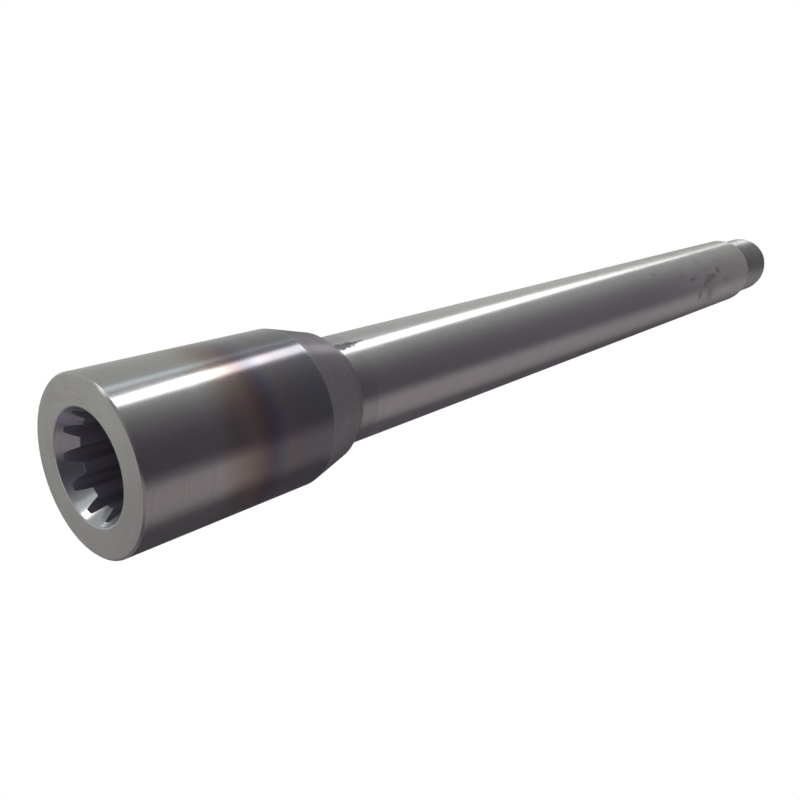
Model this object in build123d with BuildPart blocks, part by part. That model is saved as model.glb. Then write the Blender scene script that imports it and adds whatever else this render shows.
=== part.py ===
"""One-piece drive shaft: a hub with a splined socket, a ground shaft and a threaded end.

The shaft stands on the open face of its hub. The origin is the centre of that face and
+Z runs along the axis, towards the threaded end. All sizes are in millimetres.
"""
from build123d import *
from math import acos, cos, pi, radians, sin, tan
import os

# Hub: the barrel round the socket, and the taper behind it
hub_diameter = 34.5
hub_length = 44.0
hub_face_chamfer = 0.4       # round the open face
hub_back_radius = 0.6        # rounded edge where the barrel meets the taper
taper_length = 10.5
taper_end_diameter = 29.3
taper_end_chamfer = 0.3

# Ground shaft, from the shoulder behind the taper to the shoulder before the thread
shaft_diameter = 25.0
shaft_length = 234.5
shoulder_fillet = 1.5        # hollow corner where the shaft leaves the taper's shoulder
shaft_end_chamfer = 0.4

# Threaded end, plain at the thread's outside diameter, with a groove at its foot
thread_diameter = 22.0
thread_length = 25.0         # from the shaft's shoulder to the end face
thread_end_chamfer = 1.0
thread_groove_depth = 1.1
thread_groove_length = 3.4
thread_groove_fillet = 0.7   # in the corner at the shoulder

# Centre hole in the end face, for turning and grinding between centres
centre_mouth_diameter = 8.5
centre_drill_diameter = 4.0
centre_drill_length = 5.0    # straight hole below the cone
centre_half_angle = 30.0     # degrees, between the cone and the axis

# Internal involute spline
tooth_count = 11
module = 1.7
pressure_angle = 30.0        # degrees
tooth_height = 0.5           # from the pitch circle in to the tips of the teeth
space_depth = 1.05           # from the pitch circle out to the bottoms of the spaces
space_fillet = 0.3           # in the corners at the bottom of each space
tooth_fillet = 0.2           # on the corners at the tip of each tooth
spline_length = 30.0         # from the open face to the ends of the spaces
first_space_angle = -90.0    # degrees: one space faces -Y

# Mouth of the socket: a centre cone that cuts back the ends of the teeth
mouth_rim = 0.75             # radial width of the cone outside the spaces
mouth_half_angle = 30.0      # degrees, between the cone and the axis

# Bottom of the socket: a groove that the cutter runs out into, then the drilled end
groove_clearance = 0.5       # radial, beyond the bottoms of the spaces
groove_length = 4.0
drilled_length = 2.0         # straight hole below the groove
drill_half_angle = 59.0      # degrees, of the drill's point

# Radii and heights that follow from the sizes above
hub_radius = hub_diameter / 2
taper_end_radius = taper_end_diameter / 2
shaft_radius = shaft_diameter / 2
thread_radius = thread_diameter / 2
thread_groove_radius = thread_radius - thread_groove_depth
taper_end_z = hub_length + taper_length
shaft_end_z = taper_end_z + shaft_length
thread_groove_end_z = shaft_end_z + thread_groove_length
thread_end_z = shaft_end_z + thread_length

centre_mouth_radius = centre_mouth_diameter / 2
centre_drill_radius = centre_drill_diameter / 2
centre_cone_depth = (centre_mouth_radius - centre_drill_radius) / tan(radians(centre_half_angle))
centre_drill_z = thread_end_z - centre_cone_depth - centre_drill_length
centre_point_z = centre_drill_z - centre_drill_radius / tan(radians(drill_half_angle))

pitch_radius = tooth_count * module / 2
base_radius = pitch_radius * cos(radians(pressure_angle))
tooth_tip_radius = pitch_radius - tooth_height
space_root_radius = pitch_radius + space_depth
flank_start_radius = (base_radius + tooth_tip_radius) / 2

mouth_radius = space_root_radius + mouth_rim
mouth_depth = (mouth_radius - tooth_tip_radius) / tan(radians(mouth_half_angle))
groove_radius = space_root_radius + groove_clearance
groove_end_z = spline_length + groove_length
drilled_end_z = groove_end_z + drilled_length
drill_point_z = drilled_end_z + tooth_tip_radius / tan(radians(drill_half_angle))


def involute(angle):
    """Involute function of an angle in radians."""
    return tan(angle) - angle


def half_space_angle(radius):
    """Half of the angle that one space spans at a radius, in radians.

    At the pitch circle a space is as wide as a tooth. Elsewhere its sides follow the
    involute of the base circle.
    """
    at_pitch = pi / (2 * tooth_count)
    return at_pitch + involute(radians(pressure_angle)) - involute(acos(base_radius / radius))


def flank_points(side, count=5):
    """Points up one side (+1 or -1) of a space on +X, from inside the tips to the root."""
    points = []
    for index in range(count):
        radius = flank_start_radius + (space_root_radius - flank_start_radius) * index / (count - 1)
        angle = side * half_space_angle(radius)
        points.append((radius * cos(angle), radius * sin(angle)))
    return points


# One space between two teeth
with BuildSketch() as one_space:
    with BuildLine():
        near_side = flank_points(-1)
        far_side = flank_points(1)
        Spline(*near_side)
        ThreePointArc(near_side[-1], (space_root_radius, 0), far_side[-1])
        Spline(*reversed(far_side))
        Line(far_side[0], near_side[0])
    make_face()

# The whole opening that the spline leaves, with its corners rounded
with BuildSketch() as spline_opening:
    Circle(tooth_tip_radius)
    with PolarLocations(0, tooth_count, start_angle=first_space_angle):
        add(one_space.sketch)
    fillet(spline_opening.vertices().group_by(SortBy.DISTANCE)[-1], radius=space_fillet)
    fillet(spline_opening.vertices().group_by(SortBy.DISTANCE)[0], radius=tooth_fillet)


def corner(section, radius, height):
    """The corner of a turned section at this radius and height."""
    return section.vertices().sort_by_distance((radius, height, 0))[0]


# Half sections, with the radius across and the height up the page
with BuildSketch(Plane.XZ) as outside:
    with BuildLine():
        Polyline(
            (0, 0),
            (hub_radius, 0),
            (hub_radius, hub_length),
            (taper_end_radius, taper_end_z),
            (shaft_radius, taper_end_z),
            (shaft_radius, shaft_end_z),
            (thread_groove_radius, shaft_end_z),
            (thread_groove_radius, thread_groove_end_z),
            (thread_radius, thread_groove_end_z + thread_groove_depth),
            (thread_radius, thread_end_z),
            (0, thread_end_z),
            close=True,
        )
    make_face()
    chamfer(corner(outside, hub_radius, 0), length=hub_face_chamfer)
    fillet(corner(outside, hub_radius, hub_length), radius=hub_back_radius)
    chamfer(corner(outside, taper_end_radius, taper_end_z), length=taper_end_chamfer)
    fillet(corner(outside, shaft_radius, taper_end_z), radius=shoulder_fillet)
    chamfer(corner(outside, shaft_radius, shaft_end_z), length=shaft_end_chamfer)
    fillet(corner(outside, thread_groove_radius, shaft_end_z), radius=thread_groove_fillet)
    chamfer(corner(outside, thread_radius, thread_end_z), length=thread_end_chamfer)

with BuildSketch(Plane.XZ) as socket:
    with BuildLine():
        Polyline(
            (0, 0),
            (mouth_radius, 0),
            (tooth_tip_radius, mouth_depth),
            (tooth_tip_radius, spline_length),
            (groove_radius, spline_length),
            (groove_radius, groove_end_z),
            (tooth_tip_radius, groove_end_z),
            (tooth_tip_radius, drilled_end_z),
            (0, drill_point_z),
            close=True,
        )
    make_face()

with BuildSketch(Plane.XZ) as centre_hole:
    with BuildLine():
        Polyline(
            (0, thread_end_z),
            (centre_mouth_radius, thread_end_z),
            (centre_drill_radius, thread_end_z - centre_cone_depth),
            (centre_drill_radius, centre_drill_z),
            (0, centre_point_z),
            close=True,
        )
    make_face()

# The shaft: turned outside, bored socket and centre hole, then the spline cut down to the groove
with BuildPart() as splined_shaft:
    add(outside.sketch)
    revolve(axis=Axis.Z)
    add(socket.sketch)
    revolve(axis=Axis.Z, mode=Mode.SUBTRACT)
    add(centre_hole.sketch)
    revolve(axis=Axis.Z, mode=Mode.SUBTRACT)
    add(spline_opening.sketch)
    extrude(amount=spline_length, mode=Mode.SUBTRACT)

splined_shaft.part.label = "splined_shaft"

os.makedirs("parts", exist_ok=True)
export_step(splined_shaft.part, "parts/splined_shaft.step")
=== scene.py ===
"""Looks of the one-piece splined shaft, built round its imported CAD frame.

The steel is one closed surface, from the point of the centre hole in the threaded end,
over the outside and the hub face, down to the drill point of the socket. Each zone of
it has its own machined finish. Sizes are in millimetres until the mesh is made.
"""
from math import cos, pi, radians, tan

import bpy
import numpy as np
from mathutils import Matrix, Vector


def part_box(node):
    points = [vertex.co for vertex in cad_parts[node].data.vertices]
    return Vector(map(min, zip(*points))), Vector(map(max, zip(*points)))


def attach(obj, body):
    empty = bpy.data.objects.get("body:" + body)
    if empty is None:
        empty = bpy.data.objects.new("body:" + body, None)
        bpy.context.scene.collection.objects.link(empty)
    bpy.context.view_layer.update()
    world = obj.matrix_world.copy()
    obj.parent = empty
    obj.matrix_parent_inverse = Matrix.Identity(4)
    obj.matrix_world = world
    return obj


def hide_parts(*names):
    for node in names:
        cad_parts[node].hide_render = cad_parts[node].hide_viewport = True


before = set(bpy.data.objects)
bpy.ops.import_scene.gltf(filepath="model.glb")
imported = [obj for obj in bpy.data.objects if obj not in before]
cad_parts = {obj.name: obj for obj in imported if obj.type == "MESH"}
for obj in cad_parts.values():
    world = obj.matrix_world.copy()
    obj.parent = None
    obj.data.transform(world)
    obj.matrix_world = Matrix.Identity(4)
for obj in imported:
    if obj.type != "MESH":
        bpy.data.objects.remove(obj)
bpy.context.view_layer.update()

MM = 0.001

# ---------------------------------------------------------------- sizes, as in the part

_, high_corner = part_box("splined_shaft")
overall_length = round(high_corner.z / MM, 3)
hub_radius = round(high_corner.x / MM, 3)

hub_length = 44.0
hub_face_chamfer = 0.4
hub_back_radius = 0.6
taper_end_z = 54.5
taper_end_radius = 14.65
taper_end_chamfer = 0.3

shaft_radius = 12.5
shoulder_fillet = 1.5
shoulder_relief_length = 3.1     # from the shoulder to where the ground finish starts
shaft_end_z = 289.0
shaft_end_chamfer = 0.4

thread_radius = 11.0
thread_pitch = 1.5
thread_root_radius = thread_radius - 0.6134 * thread_pitch     # a metric thread's depth
thread_end_chamfer = 1.0
thread_groove_radius = 9.9
thread_groove_end_z = 292.4
thread_groove_fillet = 0.7

centre_mouth_radius = 4.25
centre_drill_radius = 2.0
centre_drill_length = 5.0
centre_half_angle = radians(30)

tooth_count = 11
pitch_radius = 9.35
pressure_angle = radians(30)
tooth_tip_radius = 8.85
space_root_radius = 10.4
space_fillet = 0.3
tooth_fillet = 0.2
spline_length = 30.0

mouth_radius = 11.15
mouth_half_angle = radians(30)
mouth_rim_radius = 0.3
mouth_margin = 0.25          # of the hub face round the mouth, before its rim
groove_radius = 10.9
groove_end_z = 34.0
drilled_end_z = 36.0
drill_half_angle = radians(59)

edge_break = 0.08            # what a file leaves on an edge that has no chamfer

# ---------------------------------------------------------------- the steel surface

FINISHES = ("threaded", "end_face", "ground", "relief", "turned", "polished", "faced",
            "mouth", "broached")


def arc_at(corner, before, after, radius, pieces=4):
    """Points of the arc that rounds a corner of a section.

    Points are complex numbers, radius + i height. The arc touches both straight runs at
    radius * tan(half the turn) from the corner, and its heading turns evenly from the
    first run's to the second's.
    """
    heading = (corner - before) / abs(corner - before)
    leaving = (after - corner) / abs(after - corner)
    turn = np.angle(leaving / heading)
    start = corner - heading * radius * tan(abs(turn) / 2)
    side = 1j * np.sign(turn)
    swept = abs(turn) * np.linspace(0, 1, pieces + 1)
    return start + radius / side * heading * (np.exp(side * swept) - 1)


def turned_section(corners, longest=16.0, guard=0.25):
    """A turned section from corners of (radius, height, rounding, finish of the run after).

    Every corner but the first and last becomes an arc. A straight run gets a point close
    to each of its ends, which keeps its shading flat, and no step longer than `longest`.
    Returns the points and the finish of the step after each point.
    """
    at = np.array([complex(r, z) for r, z, _, _ in corners])
    arcs = [at[:1]]
    for i in range(1, len(at) - 1):
        rounding = corners[i][2]
        arcs.append(arc_at(at[i], at[i - 1], at[i + 1], rounding))
    arcs.append(at[-1:])
    points, finishes = [], []
    for i, arc in enumerate(arcs):
        points.append(arc)
        finishes += [FINISHES.index(corners[i][3])] * len(arc)
        if i + 1 == len(arcs):
            break
        start, end = arc[-1], arcs[i + 1][0]
        run = abs(end - start)
        near = min(guard, run / 4)
        count = max(1, int(np.ceil((run - 2 * near) / longest)))
        inner = start + (end - start) * np.linspace(near / run, 1 - near / run, count + 1)
        points.append(inner)
        finishes += [FINISHES.index(corners[i][3])] * len(inner)
    return np.concatenate(points), finishes


def involute(angle):
    """Involute function: the tangent of an angle less the angle."""
    return np.tan(angle) - angle


def space_flank(radius):
    """Angle from the middle of a tooth space to its flank, at a radius, in radians."""
    base_radius = pitch_radius * cos(pressure_angle)
    at_pitch = pi / (2 * tooth_count) + involute(pressure_angle)
    return at_pitch - involute(np.arccos(base_radius / radius))


def blended_corner(circle, fillet, inside):
    """Where a fillet joins the flank to a circle about the axis.

    The fillet's centre is one fillet radius from the flank and from the circle. Along the
    flank, offset by the fillet radius, it is where the distance from the axis is the
    circle's less the fillet (inside it) or plus the fillet (outside it). Returns the
    centre and the point on the flank, as complex numbers with the space on the real axis.
    """
    radius = np.linspace(tooth_tip_radius - 0.3, space_root_radius + 0.3, 2000)
    flank = radius * np.exp(1j * space_flank(radius))
    along = np.gradient(flank)
    to_space = -1j * along / abs(along)
    offset = flank + (fillet if inside else -fillet) * to_space
    wanted = circle - fillet if inside else circle + fillet
    at = np.argmin(abs(abs(offset) - wanted))
    return offset[at], flank[at]


def half_tooth_outline():
    """Angles and radii of the opening, from the middle of a space to the middle of a tooth.

    Five pieces in turn: the arc at the bottom of the space, its fillet, the involute
    flank, the rounded tooth corner and the arc at the tooth tip.
    """
    root_centre, root_flank = blended_corner(space_root_radius, space_fillet, True)
    tip_centre, tip_flank = blended_corner(tooth_tip_radius, tooth_fillet, False)
    root_from = np.angle(root_centre)
    tip_to = np.angle(tip_centre)
    half_pitch = pi / tooth_count

    def around(centre, start, end, pieces):
        begin, finish = np.angle(start - centre), np.angle(end - centre)
        return centre + abs(start - centre) * np.exp(1j * np.linspace(begin, finish, pieces + 1))

    root_arc = space_root_radius * np.exp(1j * np.linspace(0, root_from, 3))
    root_round = around(root_centre, root_arc[-1], root_flank, 3)
    flank_radius = np.linspace(abs(root_flank), abs(tip_flank), 5)
    flank = flank_radius * np.exp(1j * space_flank(flank_radius))
    tip_arc = tooth_tip_radius * np.exp(1j * np.linspace(tip_to, half_pitch, 4))
    tip_round = around(tip_centre, tip_flank, tip_arc[0], 2)
    outline = np.concatenate([root_arc, root_round[1:], flank[1:], tip_round[1:], tip_arc[1:]])
    return np.angle(outline), abs(outline)


def socket_opening():
    """Angle and radius of every column of the socket, with the first space towards -Y."""
    angle, radius = half_tooth_outline()
    angle = np.concatenate([angle, 2 * pi / tooth_count - angle[-2:0:-1]])
    radius = np.concatenate([radius, radius[-2:0:-1]])
    turns = 2 * pi / tooth_count * np.arange(tooth_count)
    angles = (turns[:, None] + angle[None, :]).ravel() - pi / 2
    return angles, np.tile(radius, tooth_count)


def thread_surface(angle, height):
    """Radius of the thread at an angle and a height.

    The form is measured from the middle of a crest, which climbs one pitch a turn: flat
    for a sixteenth of the pitch, then 60 degree flanks down to a flat root. The turned
    chamfer at the end and the run-up from the groove cut it off.
    """
    turn = (height - thread_pitch * angle / (2 * pi)) / thread_pitch
    from_crest = thread_pitch * abs(turn - np.round(turn))
    flank = thread_radius - (from_crest - thread_pitch / 16) / tan(radians(30))
    form = np.clip(flank, thread_root_radius, thread_radius)
    chamfer = thread_radius - thread_end_chamfer + overall_length - height
    run_up = thread_groove_radius + height - thread_groove_end_z
    return np.minimum(form, np.minimum(chamfer, run_up))


def steel_surface():
    """Rings of the whole shaft: angle, radius, height and finish of each ring's columns."""
    socket_angle, opening = socket_opening()
    columns = len(socket_angle)
    even_angle = 2 * pi / columns * np.arange(columns) - pi / 2

    centre_cone = (centre_mouth_radius - centre_drill_radius) / tan(centre_half_angle)
    drill_top = overall_length - centre_cone
    drill_bottom = drill_top - centre_drill_length
    point = drill_bottom - centre_drill_radius / tan(drill_half_angle)
    top = overall_length - (thread_root_radius - (thread_radius - thread_end_chamfer))

    end_points, end_finish = turned_section([
        (0.02, point, 0, "end_face"),
        (centre_drill_radius, drill_bottom, edge_break, "end_face"),
        (centre_drill_radius, drill_top, edge_break, "end_face"),
        (centre_mouth_radius, overall_length, edge_break, "end_face"),
        (thread_radius - thread_end_chamfer, overall_length, 0.03, "threaded"),
        (thread_root_radius, top, 0, "threaded"),
    ])

    rings_per_pitch = 10
    bottom = thread_groove_end_z + thread_root_radius - thread_groove_radius
    steps = int(round((top - bottom) / thread_pitch * rings_per_pitch))
    thread_z = np.linspace(top, bottom, steps + 1)[1:-1]

    taper = complex(hub_radius, hub_length) - complex(taper_end_radius, taper_end_z)
    taper_chamfer = complex(taper_end_radius, taper_end_z) + taper_end_chamfer * taper / abs(taper)
    ground_from = taper_end_z + shoulder_relief_length
    out_points, out_finish = turned_section([
        (thread_root_radius, bottom, 0, "threaded"),
        (thread_groove_radius, thread_groove_end_z, edge_break, "threaded"),
        (thread_groove_radius, shaft_end_z, thread_groove_fillet, "turned"),
        (shaft_radius - shaft_end_chamfer, shaft_end_z, edge_break, "ground"),
        (shaft_radius, shaft_end_z - shaft_end_chamfer, edge_break, "ground"),
        (shaft_radius, ground_from, 0, "relief"),
    ])
    back_points, back_finish = turned_section([
        (shaft_radius, ground_from, 0, "relief"),
        (shaft_radius, taper_end_z, shoulder_fillet, "relief"),
        (taper_end_radius - taper_end_chamfer, taper_end_z, 0.06, "turned"),
        (taper_chamfer.real, taper_chamfer.imag, 0.1, "turned"),
        (hub_radius, hub_length, hub_back_radius, "polished"),
        (hub_radius, hub_face_chamfer, 0.15, "polished"),
        (hub_radius - hub_face_chamfer, 0, 0.12, "faced"),
        (mouth_radius + mouth_margin, 0, 0, "faced"),
    ])
    out_points = np.concatenate([out_points[:-1], back_points])
    out_finish = out_finish[:-1] + back_finish

    def rings(points):
        """A turned section as rings that are the same at every angle."""
        ones = np.ones((1, columns))
        return points.real[:, None] * ones, points.imag[:, None] * ones

    end_r, end_z = rings(end_points)
    out_r, out_z = rings(out_points)
    thread_height = thread_z[:, None] * np.ones((1, columns))
    thread_r = thread_surface(even_angle[None, :], thread_height)

    # The mouth: a rounded rim, then the cone down to where it meets the opening
    rim_corner = complex(mouth_radius, 0)
    below = rim_corner + complex(-tan(mouth_half_angle), 1)
    rim = arc_at(rim_corner, rim_corner + 1, below, mouth_rim_radius)
    rim_r, rim_z = rings(rim)
    share = np.array([0.15, 0.5, 0.85, 0.95, 1.0])[:, None]
    cone_r = rim[-1].real + (opening[None, :] - rim[-1].real) * share
    cone_z = (mouth_radius - cone_r) / tan(mouth_half_angle)

    # The opening, straight down to the groove, then the groove and the drilled end
    share = np.array([0.003, 0.015, 0.12, 0.3, 0.5, 0.7, 0.88, 0.98, 1.0])[:, None]
    straight_z = cone_z[-1:] + (spline_length - cone_z[-1:]) * share
    straight_r = np.ones_like(share) * opening[None, :]
    share = np.array([0.1, 0.9])[:, None]
    ledge_r = opening[None, :] + (groove_radius - opening[None, :]) * share
    ledge_z = spline_length * np.ones_like(ledge_r)
    bottom_points, bottom_finish = turned_section([
        (groove_radius, spline_length, 0, "broached"),
        (groove_radius, groove_end_z, 0.3, "broached"),
        (tooth_tip_radius, groove_end_z, edge_break, "broached"),
        (tooth_tip_radius, drilled_end_z, edge_break, "broached"),
        (0.05, drilled_end_z + tooth_tip_radius / tan(drill_half_angle), 0, "broached"),
    ])
    deep_r, deep_z = rings(bottom_points)

    radius = np.vstack([end_r, thread_r, out_r, rim_r, cone_r, straight_r, ledge_r, deep_r])
    height = np.vstack([end_z, thread_height, out_z, rim_z, cone_z, straight_z, ledge_z, deep_z])
    mouth, broached = FINISHES.index("mouth"), FINISHES.index("broached")
    finish = (end_finish + [FINISHES.index("threaded")] * len(thread_z) + out_finish
              + [mouth] * (len(rim_r) + len(cone_r) - 1)
              + [broached] * (1 + len(straight_r) + len(ledge_r)) + bottom_finish)

    # Columns are even outside, and gather at the tooth flanks across the hub face
    face_width = hub_radius - hub_face_chamfer - mouth_radius - mouth_margin
    inward = (hub_radius - hub_face_chamfer - radius.mean(1)) / face_width
    inside = np.arange(len(radius)) >= len(end_r) + len(thread_r) + len(out_r)
    on_face = height.max(1) < 1e-6
    gathered = np.where(inside, 1.0, np.where(on_face, np.clip(inward, 0, 1), 0.0))
    gathered = gathered * gathered * (3 - 2 * gathered)
    angle = even_angle[None, :] + gathered[:, None] * (socket_angle - even_angle)[None, :]
    return angle, radius, height, np.array(finish[:-1])


def closed_mesh(name, angle, radius, height, finish):
    """One closed mesh from rings of points, with a point at each pole.

    Neighbouring rings are joined by a band of four-sided faces, and the first and last
    ring by a fan to their pole. Each point also keeps its distance along the section.
    """
    rows, columns = radius.shape
    points = np.stack([radius * np.cos(angle), radius * np.sin(angle), height], -1)
    poles = np.array([[0, 0, height[0, 0]], [0, 0, height[-1, 0]]])
    vertices = np.concatenate([points.reshape(-1, 3), poles]) * MM

    row, column = np.meshgrid(np.arange(rows - 1), np.arange(columns), indexing="ij")
    beside = (column + 1) % columns
    bands = np.stack([row * columns + column, (row + 1) * columns + column,
                      (row + 1) * columns + beside, row * columns + beside], -1)
    first = np.arange(columns)
    after = (first + 1) % columns
    last = (rows - 1) * columns
    top_fan = np.stack([first, after, np.full(columns, rows * columns)], -1)
    low_fan = np.stack([last + after, last + first, np.full(columns, rows * columns + 1)], -1)
    faces = bands.reshape(-1, 4).tolist() + top_fan.tolist() + low_fan.tolist()

    mesh = bpy.data.meshes.new(name)
    mesh.from_pydata(vertices.tolist(), [], faces)
    slots = np.concatenate([np.repeat(finish, columns), np.full(columns, finish[0]),
                            np.full(columns, finish[-1])])
    mesh.polygons.foreach_set("material_index", slots.astype(np.int32))
    mesh.polygons.foreach_set("use_smooth", np.ones(len(faces), bool))

    step = np.hypot(np.diff(radius, axis=0), np.diff(height, axis=0))
    along = np.vstack([np.zeros((1, columns)), np.cumsum(step, 0)])
    along = np.concatenate([along.ravel(), [0.0, along[-1, 0]]])
    attribute = mesh.attributes.new("along", "FLOAT", "POINT")
    attribute.data.foreach_set("value", along.astype(np.float32))
    mesh.validate()
    mesh.update()
    shaft = bpy.data.objects.new(name, mesh)
    bpy.context.scene.collection.objects.link(shaft)
    return shaft


shaft = closed_mesh("steel_shaft", *steel_surface())

# ---------------------------------------------------------------- shader building blocks


def put(tree, kind, inputs=(), **settings):
    """Adds a node, sets its options, and sets or links its inputs by name or number."""
    node = tree.nodes.new(kind)
    for name, value in settings.items():
        setattr(node, name, value)
    for key, value in dict(inputs).items():
        socket = node.inputs[key]
        if isinstance(value, bpy.types.NodeSocket):
            tree.links.new(value, socket)
        else:
            socket.default_value = value
    return node


def maths(tree, operation, *values, clamp=False):
    """The result of a Math node."""
    return put(tree, "ShaderNodeMath", enumerate(values), operation=operation,
               use_clamp=clamp).outputs[0]


def fade(tree, value, start, end, low=0.0, high=1.0):
    """A smooth step: `low` at start, `high` at end."""
    node = put(tree, "ShaderNodeMapRange",
               {"Value": value, "From Min": start, "From Max": end, "To Min": low,
                "To Max": high}, interpolation_type="SMOOTHSTEP")
    return node.outputs["Result"]


# A Mix node has sockets for every type of data under the same names, so they go by number
MIX_SHARE, MIX_FIRST_COLOUR, MIX_SECOND_COLOUR, MIX_COLOUR = 0, 6, 7, 2


def mixed(tree, share, first, second, blend="MIX"):
    """Two colours mixed by a share."""
    node = tree.nodes.new("ShaderNodeMix")
    node.data_type = "RGBA"
    node.blend_type = blend
    for index, value in ((MIX_SHARE, share), (MIX_FIRST_COLOUR, first),
                         (MIX_SECOND_COLOUR, second)):
        if isinstance(value, bpy.types.NodeSocket):
            tree.links.new(value, node.inputs[index])
        elif index == MIX_SHARE:
            node.inputs[index].default_value = value
        else:
            node.inputs[index].default_value = (*value, 1.0)
    return node.outputs[MIX_COLOUR]


def group(name, inputs, outputs):
    """An empty node group with float inputs (name: value) and outputs (name: socket type)."""
    tree = bpy.data.node_groups.new(name, "ShaderNodeTree")
    for title, value in inputs.items():
        socket = tree.interface.new_socket(title, in_out="INPUT", socket_type="NodeSocketFloat")
        socket.default_value = value
    for title in outputs:
        tree.interface.new_socket(title, in_out="OUTPUT", socket_type="NodeSocketFloat")
    return tree, tree.nodes.new("NodeGroupInput").outputs, tree.nodes.new("NodeGroupOutput").inputs


def place(tree, group_tree, **values):
    """The outputs of a node group, placed with its own values."""
    node = tree.nodes.new("ShaderNodeGroup")
    node.node_tree = group_tree
    for title, value in values.items():
        socket = node.inputs[title.replace("_", " ")]
        if isinstance(value, bpy.types.NodeSocket):
            tree.links.new(value, socket)
        else:
            socket.default_value = value
    return node.outputs


def around_axis(tree, reach, along):
    """A vector whose first two parts go round the axis and whose third goes along it."""
    where = put(tree, "ShaderNodeTexCoord").outputs["Object"]
    flat = put(tree, "ShaderNodeVectorMath", {0: where, 1: (1, 1, 0)}, operation="MULTIPLY")
    unit = put(tree, "ShaderNodeVectorMath", {0: flat.outputs[0]}, operation="NORMALIZE")
    scaled = put(tree, "ShaderNodeVectorMath", {0: unit.outputs[0]}, operation="SCALE")
    if isinstance(reach, bpy.types.NodeSocket):
        tree.links.new(reach, scaled.inputs["Scale"])
    else:
        scaled.inputs["Scale"].default_value = reach
    parts = put(tree, "ShaderNodeSeparateXYZ", {0: scaled.outputs[0]}).outputs
    return put(tree, "ShaderNodeCombineXYZ", {0: parts[0], 1: parts[1], 2: along}).outputs[0]


def tool_lines_group():
    """Fine lines left by turning, grinding or polishing round the axis.

    Noise that changes slowly round the axis and quickly along the section.
    """
    tree, given, result = group("tool_lines", {"Per mm": 4.0, "Wander": 1.0, "Detail": 3.0},
                                ["Lines"])
    along = put(tree, "ShaderNodeAttribute", attribute_name="along").outputs["Fac"]
    vector = around_axis(tree, given["Wander"], maths(tree, "MULTIPLY", along, given["Per mm"]))
    noise = put(tree, "ShaderNodeTexNoise", {"Vector": vector, "Scale": 1.0,
                                             "Detail": given["Detail"], "Roughness": 0.6})
    tree.links.new(noise.outputs["Fac"], result["Lines"])
    return tree


def film_group():
    """Cloudy patches of oil film and handling marks, in millimetres of size."""
    tree, given, result = group("film", {"Size": 12.0, "Seed": 0.0}, ["Cloud"])
    where = put(tree, "ShaderNodeTexCoord").outputs["Object"]
    per_metre = maths(tree, "DIVIDE", 1 / MM, given["Size"])
    noise = put(tree, "ShaderNodeTexNoise", {"Vector": where, "Scale": per_metre, "W": given["Seed"],
                                             "Detail": 4.0, "Roughness": 0.55},
                noise_dimensions="4D")
    tree.links.new(fade(tree, noise.outputs["Fac"], 0.35, 0.7), result["Cloud"])
    return tree


ragged_per_metre = 1100.0     # how fine the ragged edges of the stains are


def stain_group():
    """One ragged stain, as an oval round a point of the outside.

    The point is an angle from -Y towards +X in degrees and a height in millimetres. The
    oval is 1 in its middle and falls to 0 at its edge, which noise makes ragged.
    """
    tree, given, result = group("stain", {"Angle": 0.0, "Height": 100.0, "Half angle": 5.0,
                                          "Half height": 5.0, "Ragged": 0.5}, ["Mask"])
    where = put(tree, "ShaderNodeTexCoord").outputs["Object"]
    x, y, z = put(tree, "ShaderNodeSeparateXYZ", {0: where}).outputs
    turn = maths(tree, "MULTIPLY", maths(tree, "ARCTAN2", x, maths(tree, "MULTIPLY", y, -1.0)),
                 180 / pi)
    aside = maths(tree, "DIVIDE", maths(tree, "SUBTRACT", turn, given["Angle"]),
                  given["Half angle"])
    above = maths(tree, "DIVIDE", maths(tree, "SUBTRACT", maths(tree, "MULTIPLY", z, 1 / MM),
                                        given["Height"]), given["Half height"])
    aside_squared = maths(tree, "POWER", maths(tree, "ABSOLUTE", aside), 2.0)
    above_squared = maths(tree, "POWER", maths(tree, "ABSOLUTE", above), 2.0)
    away = maths(tree, "SQRT", maths(tree, "ADD", aside_squared, above_squared))
    noise = put(tree, "ShaderNodeTexNoise", {"Vector": where, "Scale": ragged_per_metre, "Detail": 3.0})
    ragged = maths(tree, "MULTIPLY", maths(tree, "SUBTRACT", noise.outputs["Fac"], 0.5),
                   maths(tree, "MULTIPLY", given["Ragged"], 4.0))
    tree.links.new(fade(tree, maths(tree, "ADD", away, ragged), 1.15, 0.55), result["Mask"])
    return tree


tool_lines = tool_lines_group()
film = film_group()
stain = stain_group()


def steel(name, roughness=0.3, anisotropic=0.0, metallic=1.0):
    """A new steel material: its node tree and its shader, with the constants set."""
    material = bpy.data.materials.new(name)
    material.use_nodes = True
    tree = material.node_tree
    tree.nodes.clear()
    shader = put(tree, "ShaderNodeBsdfPrincipled",
                 {"Metallic": metallic, "Roughness": roughness, "Anisotropic": anisotropic})
    put(tree, "ShaderNodeOutputMaterial", {"Surface": shader.outputs[0]})
    if anisotropic:
        tangent = put(tree, "ShaderNodeTangent", direction_type="RADIAL", axis="Z")
        tree.links.new(tangent.outputs[0], shader.inputs["Tangent"])
        shader.inputs["Anisotropic Rotation"].default_value = 0.25
    return material, tree, shader


def scored(tree, shader, height, depth):
    """Cuts a pattern of heights into the surface, to a depth in millimetres."""
    bump = put(tree, "ShaderNodeBump", {"Height": height, "Distance": depth * MM, "Strength": 1.0})
    tree.links.new(bump.outputs[0], shader.inputs["Normal"])


def height_mm(tree):
    """Height on the part in millimetres."""
    where = put(tree, "ShaderNodeTexCoord").outputs["Object"]
    z = put(tree, "ShaderNodeSeparateXYZ", {0: where}).outputs[2]
    return maths(tree, "MULTIPLY", z, 1 / MM)


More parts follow.
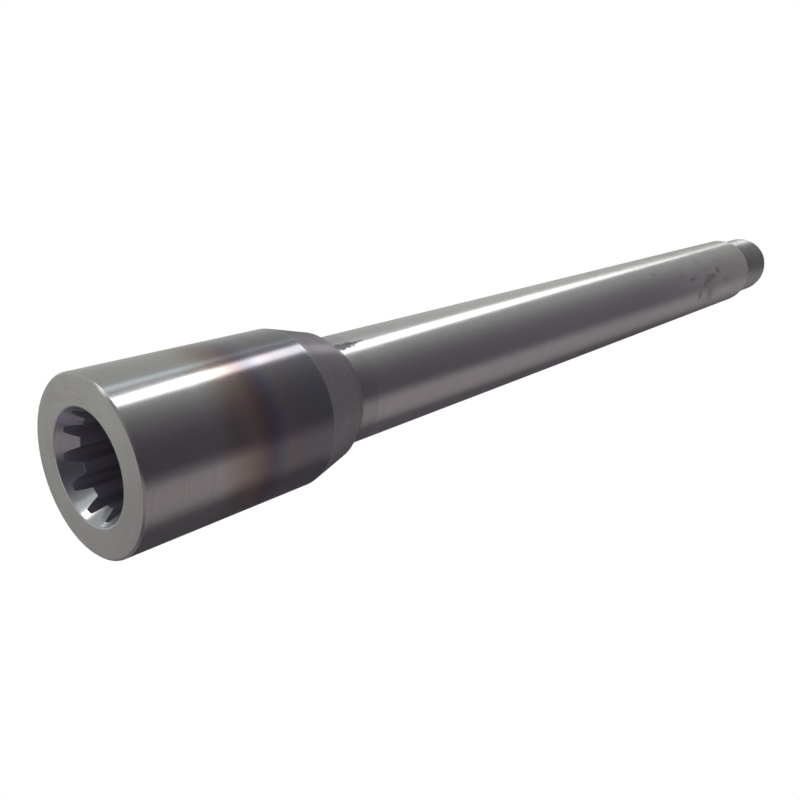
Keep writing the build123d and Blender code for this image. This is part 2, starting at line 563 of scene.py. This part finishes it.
def ramp(tree, value, stops):
    """A colour ramp over stops of (value, colour)."""
    low, high = stops[0][0], stops[-1][0]
    node = tree.nodes.new("ShaderNodeValToRGB")
    share = put(tree, "ShaderNodeMapRange", {"Value": value, "From Min": low, "From Max": high})
    tree.links.new(share.outputs["Result"], node.inputs["Fac"])
    elements = node.color_ramp.elements
    elements[0].position, elements[0].color = 0.0, (*stops[0][1], 1.0)
    elements[1].position, elements[1].color = 1.0, (*stops[-1][1], 1.0)
    for at, colour in stops[1:-1]:
        elements.new((at - low) / (high - low)).color = (*colour, 1.0)
    return node.outputs["Color"]


BRIGHT = (0.60, 0.595, 0.58)     # clean steel
DULL = (0.40, 0.395, 0.385)      # steel that is scaled, oiled or out of the grinding
HANDLED = (0.53, 0.51, 0.48)     # steel dulled by handling
SPECKED = (0.36, 0.345, 0.34)    # the fine mottling on the far end of the ground shaft
STAINED = (0.09, 0.08, 0.11)

grinding_run_out = (62.8, 62.2)  # the grinding fades out between these heights
shoulder_marks_end = 70.0        # marks below this height are rough as well as dark


def polished_steel():
    """The hub's barrel: polished, with a band of heat colours near its back."""
    material, tree, shader = steel("polished_hub_steel", metallic=0.95, anisotropic=0.5)
    z = height_mm(tree)
    wobble = place(tree, film, Size=30.0, Seed=2.0)["Cloud"]
    level = maths(tree, "ADD", z, maths(tree, "MULTIPLY", maths(tree, "SUBTRACT", wobble, 0.5), 1.2))
    colour = ramp(tree, level, [
        (0.0, BRIGHT),
        (15.0, BRIGHT),
        (18.0, (0.55, 0.515, 0.475)),
        (20.0, (0.475, 0.425, 0.385)),
        (22.0, (0.38, 0.30, 0.28)),
        (24.0, (0.265, 0.205, 0.19)),
        (26.0, (0.17, 0.115, 0.125)),
        (28.0, (0.12, 0.097, 0.13)),
        (30.0, (0.14, 0.138, 0.18)),
        (32.0, (0.185, 0.16, 0.17)),
        (34.5, (0.165, 0.145, 0.16)),
        (38.0, (0.155, 0.152, 0.172)),
        (43.2, (0.15, 0.15, 0.175)),
        (43.8, (0.27, 0.265, 0.26)),
        (44.0, (0.27, 0.265, 0.26)),
    ])
    oxide = fade(tree, level, 19.0, 28.0)
    tree.links.new(oxide, shader.inputs["Coat Weight"])
    tree.links.new(maths(tree, "SUBTRACT", 0.95, maths(tree, "MULTIPLY", oxide, 0.2)),
                   shader.inputs["Metallic"])
    shader.inputs["Coat Roughness"].default_value = 0.17
    shader.inputs["Coat IOR"].default_value = 1.55
    lines = place(tree, tool_lines, Per_mm=6.0, Wander=1.5, Detail=3.0)["Lines"]
    cloud = place(tree, film, Size=9.0, Seed=5.0)["Cloud"]
    colour = mixed(tree, fade(tree, lines, 0.3, 0.7, 0.0, 0.12), colour, DULL, "MULTIPLY")
    tree.links.new(colour, shader.inputs["Base Color"])
    rough = maths(tree, "ADD", fade(tree, lines, 0.3, 0.7, 0.16, 0.21),
                  maths(tree, "MULTIPLY", cloud, 0.03))
    tree.links.new(rough, shader.inputs["Roughness"])
    return material


def ground_steel():
    """The ground shaft: bright near the hub, and dulled by handling towards the thread."""
    material, tree, shader = steel("ground_shaft_steel", metallic=0.95, anisotropic=0.3)
    z = height_mm(tree)
    lines = place(tree, tool_lines, Per_mm=3.0, Wander=1.2, Detail=4.0)["Lines"]
    cloud = place(tree, film, Size=14.0, Seed=8.0)["Cloud"]
    run_out = fade(tree, z, *grinding_run_out)
    haze = maths(tree, "ADD", fade(tree, z, 60.0, 160.0, 0.08, 0.10),
                 fade(tree, z, 190.0, 289.0, 0.0, 0.16))
    tree.links.new(maths(tree, "SUBTRACT", 1.0, haze), shader.inputs["Metallic"])
    colour = mixed(tree, fade(tree, z, 215.0, 280.0, 0.0, 0.8), BRIGHT, HANDLED)
    colour = mixed(tree, maths(tree, "MULTIPLY", run_out, 0.35), colour, DULL)
    specks = place(tree, film, Size=2.2, Seed=3.0)["Cloud"]
    specks = maths(tree, "MULTIPLY", specks, fade(tree, z, 150.0, 250.0, 0.04, 0.30))
    colour = mixed(tree, specks, colour, SPECKED)
    colour = mixed(tree, fade(tree, lines, 0.3, 0.7, 0.0, 0.12), colour, DULL, "MULTIPLY")
    rough_marks = []
    # Angle, height, half angle, half height, raggedness and darkness of each mark: two that darken the
    # steel next to the shoulder and cut into the highlight there, then stains towards the thread
    marks = (
        (-46.0, 59.4, 5.8, 4.4, 0.30, 0.80), (-47.5, 64.0, 2.2, 3.4, 0.40, 0.60),
        (8, 247.5, 6.0, 3.0, 0.85, 0.40), (4, 252.0, 4.5, 3.6, 0.85, 0.40),
        (-4, 258.0, 6.0, 1.9, 0.80, 0.45), (-1, 234.0, 2.2, 3.0, 0.60, 0.40),
        (33, 240.8, 11.0, 1.6, 0.60, 0.50), (34, 250.0, 9.0, 2.2, 0.70, 0.45),
        (44, 253.5, 8.0, 1.4, 0.70, 0.30), (14, 244.0, 5.0, 2.0, 0.85, 0.28),
        (14, 265.0, 4.0, 2.4, 0.85, 0.28), (-28, 207.0, 2.5, 1.5, 0.50, 0.35),
        (34, 250.0, 24.0, 7.0, 0.50, 0.16))
    for angle, level, half_angle, half_height, ragged, depth in marks:
        mark = place(tree, stain, Angle=angle, Height=level, Half_angle=half_angle,
                     Half_height=half_height, Ragged=ragged)["Mask"]
        colour = mixed(tree, maths(tree, "MULTIPLY", mark, depth), colour, STAINED)
        if level < shoulder_marks_end:
            rough_marks.append(mark)
    tree.links.new(colour, shader.inputs["Base Color"])
    rough = maths(tree, "ADD", fade(tree, lines, 0.3, 0.7, 0.18, 0.21),
                  maths(tree, "MULTIPLY", cloud, 0.03))
    rough = maths(tree, "ADD", rough, fade(tree, z, 210.0, 285.0, 0.0, 0.02))
    rough = maths(tree, "ADD", rough, maths(tree, "MULTIPLY", run_out, 0.03))
    for mark in rough_marks:
        rough = maths(tree, "ADD", rough, maths(tree, "MULTIPLY", mark, 0.3))
    tree.links.new(rough, shader.inputs["Roughness"])
    scored(tree, shader, lines, 0.0002)
    return material


def turned_steel(name, colour, rough, per_mm, depth, anisotropic=0.5, metallic=0.9, oil=0.0):
    """Plain turned steel, with the lines of the tool round the axis and a film of oil."""
    material, tree, shader = steel(name, anisotropic=anisotropic, metallic=metallic)
    shader.inputs["Coat Weight"].default_value = oil
    shader.inputs["Coat Roughness"].default_value = 0.15
    lines = place(tree, tool_lines, Per_mm=per_mm, Wander=2.0, Detail=3.0)["Lines"]
    cloud = place(tree, film, Size=8.0, Seed=11.0)["Cloud"]
    shade = mixed(tree, fade(tree, lines, 0.3, 0.7, 0.0, 0.25), colour, (0.6, 0.58, 0.56), "MULTIPLY")
    shade = mixed(tree, maths(tree, "MULTIPLY", cloud, 0.25), shade, (0.75, 0.72, 0.7), "MULTIPLY")
    tree.links.new(shade, shader.inputs["Base Color"])
    tree.links.new(maths(tree, "ADD", fade(tree, lines, 0.3, 0.7, rough - 0.04, rough + 0.04),
                         maths(tree, "MULTIPLY", cloud, 0.05)), shader.inputs["Roughness"])
    scored(tree, shader, lines, depth)
    return material


def broached_steel_and_painted_shade():
    """The teeth and the bottom of the socket: cut along the axis and oily, with the colour darkened
    further as painted shade of the deep socket.
    """
    material, tree, shader = steel("broached_socket_steel_and_painted_shade", metallic=0.5)
    where = put(tree, "ShaderNodeTexCoord").outputs["Object"]
    stretch = put(tree, "ShaderNodeMapping", {"Vector": where, "Scale": (1500, 1500, 60)})
    noise = put(tree, "ShaderNodeTexNoise", {"Vector": stretch.outputs[0], "Scale": 1.0, "Detail": 3.0})
    # Dark oily steel, darkened further as painted shade inside the socket
    shade = mixed(tree, fade(tree, noise.outputs["Fac"], 0.35, 0.7), (0.27, 0.245, 0.31),
                  (0.20, 0.18, 0.235))
    tree.links.new(shade, shader.inputs["Base Color"])
    tree.links.new(fade(tree, noise.outputs["Fac"], 0.3, 0.7, 0.32, 0.42), shader.inputs["Roughness"])
    scored(tree, shader, noise.outputs["Fac"], 0.004)
    return material


materials = {
    "threaded": turned_steel("threaded_end_steel", (0.53, 0.53, 0.535), 0.27, 9.0, 0.0005,
                             0.0, 0.82),
    "end_face": turned_steel("end_face_steel", (0.45, 0.44, 0.43), 0.40, 5.0, 0.003),
    "ground": ground_steel(),
    "relief": turned_steel("relief_steel", (0.232, 0.212, 0.235), 0.40, 5.0, 0.003, 1.0,
                           0.60, 0.15),
    "turned": turned_steel("turned_taper_steel", (0.222, 0.202, 0.219), 0.42, 4.0, 0.003, 1.0,
                           0.60, 0.15),
    "polished": polished_steel(),
    "faced": turned_steel("faced_hub_steel", (0.57, 0.56, 0.535), 0.44, 5.0, 0.002, 0.3),
    "mouth": turned_steel("reamed_mouth_steel", (0.59, 0.61, 0.63), 0.17, 5.0, 0.0005, 0.0),
    "broached": broached_steel_and_painted_shade(),
}
for finish in FINISHES:
    shaft.data.materials.append(materials[finish])

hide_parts("splined_shaft")
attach(shaft, "root")

# ---------------------------------------------------------------- floor, cards and lamps

floor_radius = 12.0
floor_rings = 40
drum_radius = 0.9            # of the cards that stand round the shaft
drum_top = 3.2
hole_radius = (hub_radius - hub_face_chamfer + 0.02) * MM


def floor_disc():
    """A flat ring about the axis, open under the hub. Rings widen evenly in proportion."""
    columns = 128
    radius = hole_radius * (floor_radius / hole_radius) ** np.linspace(0, 1, floor_rings)[:, None]
    angle = 2 * pi / columns * np.arange(columns)[None, :]
    points = np.stack([radius * np.cos(angle), radius * np.sin(angle), 0 * radius * angle], -1)
    row, column = np.meshgrid(np.arange(floor_rings - 1), np.arange(columns), indexing="ij")
    beside = (column + 1) % columns
    faces = np.stack([row * columns + column, (row + 1) * columns + column,
                      (row + 1) * columns + beside, row * columns + beside], -1)
    mesh = bpy.data.meshes.new("floor")
    mesh.from_pydata(points.reshape(-1, 3).tolist(), [], faces.reshape(-1, 4).tolist())
    return mesh


def floor_paint():
    """Pale matt paint that melts into the white far away, clear when seen from below."""
    material = bpy.data.materials.new("pale_floor")
    material.use_nodes = True
    tree = material.node_tree
    tree.nodes.clear()
    where = put(tree, "ShaderNodeTexCoord").outputs["Object"]
    away = put(tree, "ShaderNodeVectorMath", {0: where}, operation="LENGTH").outputs["Value"]
    paint = put(tree, "ShaderNodeBsdfDiffuse", {"Color": (0.84, 0.84, 0.835, 1)})
    glow = put(tree, "ShaderNodeEmission", {"Color": (1, 1, 1, 1), "Strength": 1.0})
    path = put(tree, "ShaderNodeLightPath").outputs
    seen = maths(tree, "MAXIMUM", path["Is Camera Ray"], path["Is Glossy Ray"])
    far = maths(tree, "MULTIPLY", fade(tree, away, 0.35, 2.2), seen)
    top = put(tree, "ShaderNodeMixShader", {0: far, 1: paint.outputs[0], 2: glow.outputs[0]})
    clear = put(tree, "ShaderNodeBsdfTransparent")
    below = put(tree, "ShaderNodeNewGeometry").outputs["Backfacing"]
    both = put(tree, "ShaderNodeMixShader", {0: below, 1: top.outputs[0], 2: clear.outputs[0]})
    put(tree, "ShaderNodeOutputMaterial", {"Surface": both.outputs[0]})
    return material


floor = bpy.data.objects.new("floor", floor_disc())
floor.visible_glossy = False
floor.data.materials.append(floor_paint())
bpy.context.scene.collection.objects.link(floor)


def card_paint():
    """A card that shows its own brightness, kept in its corners."""
    material = bpy.data.materials.new("studio_card")
    material.use_nodes = True
    tree = material.node_tree
    tree.nodes.clear()
    colour = put(tree, "ShaderNodeAttribute", attribute_name="glow").outputs["Color"]
    glow = put(tree, "ShaderNodeEmission", {"Color": colour, "Strength": 1.0})
    put(tree, "ShaderNodeOutputMaterial", {"Surface": glow.outputs[0]})
    return material


studio_card = card_paint()


def only_reflected(item):
    """Adds a stage piece that only reflections show."""
    bpy.context.scene.collection.objects.link(item)
    item.visible_camera = False
    item.visible_diffuse = False
    item.visible_shadow = False
    item.visible_transmission = False
    return item


def card(name, rows, tints, distance=drum_radius, low=-drum_top, high=drum_top):
    """A curved card round the axis, which only the steel's reflections see.

    The cards stand between the steel and the white world. They set the bright and dark
    bands that the steel mirrors, and their tints colour those bands.

    Each row is a height in metres, the angles of the card's stations there, from -Y
    towards +X in degrees, and the brightness at each station. Angle and brightness run
    evenly from row to row and from station to station, and stay as they are past the
    first and last row.
    """
    heights, turns, levels = (np.array(part, float) for part in zip(*rows))
    height = np.union1d(np.linspace(low, high, 49), heights[(heights > low) & (heights < high)])
    stations = np.arange(turns.shape[1])
    across = np.linspace(0, stations[-1], 10 * stations[-1] + 1)

    def spread(values):
        """Values of the rows and stations, spread over the card's grid."""
        upward = np.stack([np.interp(height, heights, column) for column in values.T], 1)
        return np.stack([np.interp(across, stations, row) for row in upward])

    angle = np.radians(spread(turns)) - pi / 2
    level = spread(levels)
    upright = height[:, None] + 0 * angle
    points = np.stack([distance * np.cos(angle), distance * np.sin(angle), upright], -1)
    wide = len(across)
    row, column = np.meshgrid(np.arange(len(height) - 1), np.arange(wide - 1), indexing="ij")
    corner = row * wide + column
    faces = np.stack([corner, corner + 1, corner + wide + 1, corner + wide], -1)
    mesh = bpy.data.meshes.new(name)
    mesh.from_pydata(points.reshape(-1, 3).tolist(), [], faces.reshape(-1, 4).tolist())
    glow = mesh.attributes.new("glow", "FLOAT_COLOR", "POINT")
    colours = np.ones((level.size, 4))
    share = np.linspace(0, len(tints) - 1, len(across))
    tint = np.stack([np.interp(share, range(len(tints)), part) for part in zip(*tints)], 1)
    colours[:, :3] = (level[:, :, None] * tint).reshape(-1, 3)
    glow.data.foreach_set("color", colours.astype(np.float32).ravel())
    mesh.materials.append(studio_card)
    return only_reflected(bpy.data.objects.new(name, mesh))


COOL, NEUTRAL, MOSS = (0.96, 1.0, 1.05), (1.0, 1.0, 1.0), (0.99, 1.01, 0.98)
VIOLET, ROSE, ICE = (1.08, 0.87, 1.24), (1.07, 0.95, 1.0), (0.90, 1.02, 1.09)

card("ceiling_card", [
    (-0.10, (-180, -135, -96), (0.60, 0.56, 0.42)),
    (0.25, (-180, -135, -96), (0.52, 0.42, 0.38)),
    (0.40, (-180, -135, -96), (0.56, 0.41, 0.38)),
    (0.75, (-180, -135, -96), (0.46, 0.46, 0.44)),
    (1.15, (-180, -135, -96), (0.53, 0.53, 0.52)),
    (1.50, (-180, -135, -96), (0.54, 0.54, 0.53)),
    (1.90, (-180, -135, -96), (0.49, 0.49, 0.49)),
    (2.20, (-180, -135, -96), (0.42, 0.42, 0.44)),
    (2.50, (-180, -135, -96), (0.40, 0.40, 0.42)),
], (MOSS, MOSS))
card("room_card", [
    (0.40, (-96, -62, -53, -37, -20, -3, 29), (0.38, 0.30, 0.27, 0.145, 0.074, 0.038, 0.030)),
    (0.80, (-96, -62, -53, -37, -20, -3, 28.5), (0.40, 0.32, 0.28, 0.16, 0.085, 0.047, 0.037)),
    (1.50, (-96, -62, -53, -37, -18, 0, 34), (0.44, 0.33, 0.29, 0.185, 0.115, 0.082, 0.062)),
    (1.90, (-96, -62, -53, -37, -17, 2, 34), (0.40, 0.31, 0.27, 0.185, 0.115, 0.083, 0.07)),
    (2.40, (-96, -62, -53, -37, -16, 4, 40), (0.38, 0.29, 0.25, 0.17, 0.105, 0.08, 0.07)),
], (COOL, COOL, NEUTRAL, VIOLET, VIOLET))
card("bench_card", [
    (0.40, (28, 39, 48, 80, 92, 103), (0.030, 0.125, 0.257, 0.25, 0.16, 0.06)),
    (0.70, (27.6, 39, 48, 76, 87, 98), (0.032, 0.125, 0.257, 0.25, 0.16, 0.06)),
    (0.90, (28.3, 39, 50, 79, 92, 104), (0.040, 0.135, 0.275, 0.27, 0.18, 0.07)),
    (1.10, (29.9, 40.5, 52, 83, 97, 110), (0.048, 0.14, 0.275, 0.27, 0.18, 0.07)),
    (1.50, (33, 44, 57, 85, 101, 115), (0.062, 0.145, 0.27, 0.26, 0.175, 0.07)),
    (1.90, (33, 46, 63, 88, 105, 122), (0.07, 0.15, 0.265, 0.25, 0.17, 0.07)),
    (2.40, (39, 54, 72, 93, 114, 132), (0.07, 0.14, 0.25, 0.25, 0.16, 0.06)),
], (VIOLET, ROSE, ROSE, ROSE), distance=0.898)
card("dark_card", [
    (-0.10, (102, 180), (0.12, 0.30)),
    (0.25, (102, 180), (0.05, 0.05)),
    (0.40, (102, 180), (0.05, 0.05)),
    (0.70, (97, 180), (0.05, 0.05)),
    (0.90, (103, 180), (0.065, 0.065)),
    (1.10, (109, 180), (0.065, 0.065)),
    (1.80, (119, 180), (0.06, 0.06)),
    (2.40, (131, 180), (0.06, 0.06)),
], (VIOLET, NEUTRAL))
card("thin_strip", [
    (0.40, (-90.5, -83), (0.95, 0.95)),
    (0.60, (-97, -91), (0.90, 0.90)),
    (0.90, (-106, -99), (0.70, 0.70)),
], (ICE, ICE), distance=0.85, low=0.1, high=1.0)
card("low_glow", [
    (-0.55, (-86, -80, -66, -60), (0.35, 0.70, 0.70, 0.30)),
    (-0.35, (-86, -80, -66, -60), (0.35, 0.70, 0.70, 0.30)),
], (NEUTRAL, NEUTRAL), distance=0.86, low=-0.6, high=-0.3)
card("main_strip", [
    (-0.80, (-101.0, -90.0), (1.1, 1.1)),
    (-0.45, (-101.0, -88.0), (1.5, 1.5)),
    (-0.38, (-101.0, -84.0), (3.2, 3.2)),
    (-0.15, (-101.0, -84.0), (3.2, 3.2)),
    (-0.05, (-92.0, -76.0), (1.5, 1.5)),
    (0.10, (-77.0, -63.0), (2.9, 2.9)),
    (0.42, (-71.0, -59.4), (2.9, 2.9)),
    (0.52, (-76.0, -62.5), (2.9, 2.9)),
    (0.60, (-79.3, -65.5), (4.0, 4.0)),
    (0.64, (-80.5, -66.8), (6.8, 6.8)),
    (0.68, (-82.0, -68.2), (6.8, 6.8)),
    (0.72, (-84.0, -69.5), (4.0, 4.0)),
    (0.78, (-86.0, -71.5), (3.8, 3.8)),
    (0.87, (-90.5, -71.5), (3.0, 3.0)),
    (1.07, (-96.0, -75.8), (2.9, 2.9)),
    (1.30, (-99.5, -80.5), (2.7, 2.7)),
    (1.50, (-101.5, -84.5), (2.3, 2.3)),
    (1.68, (-102.5, -88.0), (2.0, 2.0)),
    (1.86, (-103.0, -91.0), (1.8, 1.8)),
    (2.03, (-104.0, -94.5), (2.1, 2.1)),
    (2.21, (-104.5, -98.5), (2.7, 2.7)),
    (2.31, (-105.5, -100.5), (2.2, 2.2)),
    (2.38, (-108.0, -102.0), (1.2, 1.2)),
    (2.45, (-110.0, -103.5), (0.5, 0.5)),
    (2.50, (-118.0, -102.0), (1.2, 1.2)),
    (2.75, (-122.0, -102.0), (1.8, 1.8)),
], (NEUTRAL, NEUTRAL), distance=0.84, low=-1.2, high=2.8)


def lid(level):
    """A round card that closes the drum of cards overhead. It has a plain brightness."""
    columns = 48
    angle = 2 * pi / columns * np.arange(columns)
    ring = np.stack([drum_radius * np.cos(angle), drum_radius * np.sin(angle),
                     drum_top + 0 * angle], -1)
    mesh = bpy.data.meshes.new("lid")
    mesh.from_pydata(ring.tolist(), [], [list(range(columns))])
    glow = mesh.attributes.new("glow", "FLOAT_COLOR", "POINT")
    glow.data.foreach_set("color", np.tile([level, level, level, 1.0], columns))
    mesh.materials.append(studio_card)
    return only_reflected(bpy.data.objects.new("lid", mesh))


lid(0.35)


def lamp(name, place, size, watts):
    """A square soft lamp aimed at the middle of the shaft, which reflections don't show."""
    light = bpy.data.lights.new(name, "AREA")
    light.shape, light.size, light.energy = "SQUARE", size, watts
    item = bpy.data.objects.new(name, light)
    bpy.context.scene.collection.objects.link(item)
    item.location = place
    toward = Vector((0, 0, overall_length * MM / 2)) - item.location
    item.rotation_euler = toward.to_track_quat("-Z", "Y").to_euler()
    item.visible_glossy = False


lamp("overhead_lamp", (0.1, -0.1, 2.2), 1.0, 18.0)
lamp("side_lamp", (-1.1, -0.7, 1.6), 0.8, 10.0)


def studio_world():
    """White to the camera and to reflections, and a plain level of light otherwise.

    The cards and the lid hide most of that white from the steel.
    """
    world = bpy.data.worlds.new("studio")
    world.use_nodes = True
    tree = world.node_tree
    tree.nodes.clear()
    path = put(tree, "ShaderNodeLightPath").outputs
    seen = maths(tree, "MAXIMUM", path["Is Camera Ray"],
                 maths(tree, "MAXIMUM", path["Is Glossy Ray"], path["Is Transmission Ray"]))
    level = maths(tree, "ADD", 0.6, maths(tree, "MULTIPLY", seen, 0.4))
    sky = put(tree, "ShaderNodeBackground", {"Color": (1, 1, 1, 1), "Strength": level})
    put(tree, "ShaderNodeOutputWorld", {"Surface": sky.outputs[0]})
    bpy.context.scene.world = world


studio_world()

# ---------------------------------------------------------------- camera

# Low and close to the hub, looking up along the standing shaft, with the part's -X at the top
camera = bpy.data.cameras.new("camera")
camera.lens = 38.87
camera.clip_start, camera.clip_end = 0.005, 50.0
eye = bpy.data.objects.new("camera", camera)
eye.location = (-0.00421, -0.14433, -0.07145)
eye.rotation_euler = [radians(angle) for angle in (162.591, -40.455, -68.601)]
bpy.context.scene.collection.objects.link(eye)
bpy.context.scene.camera = eye

bpy.context.scene.view_settings.view_transform = "Standard"
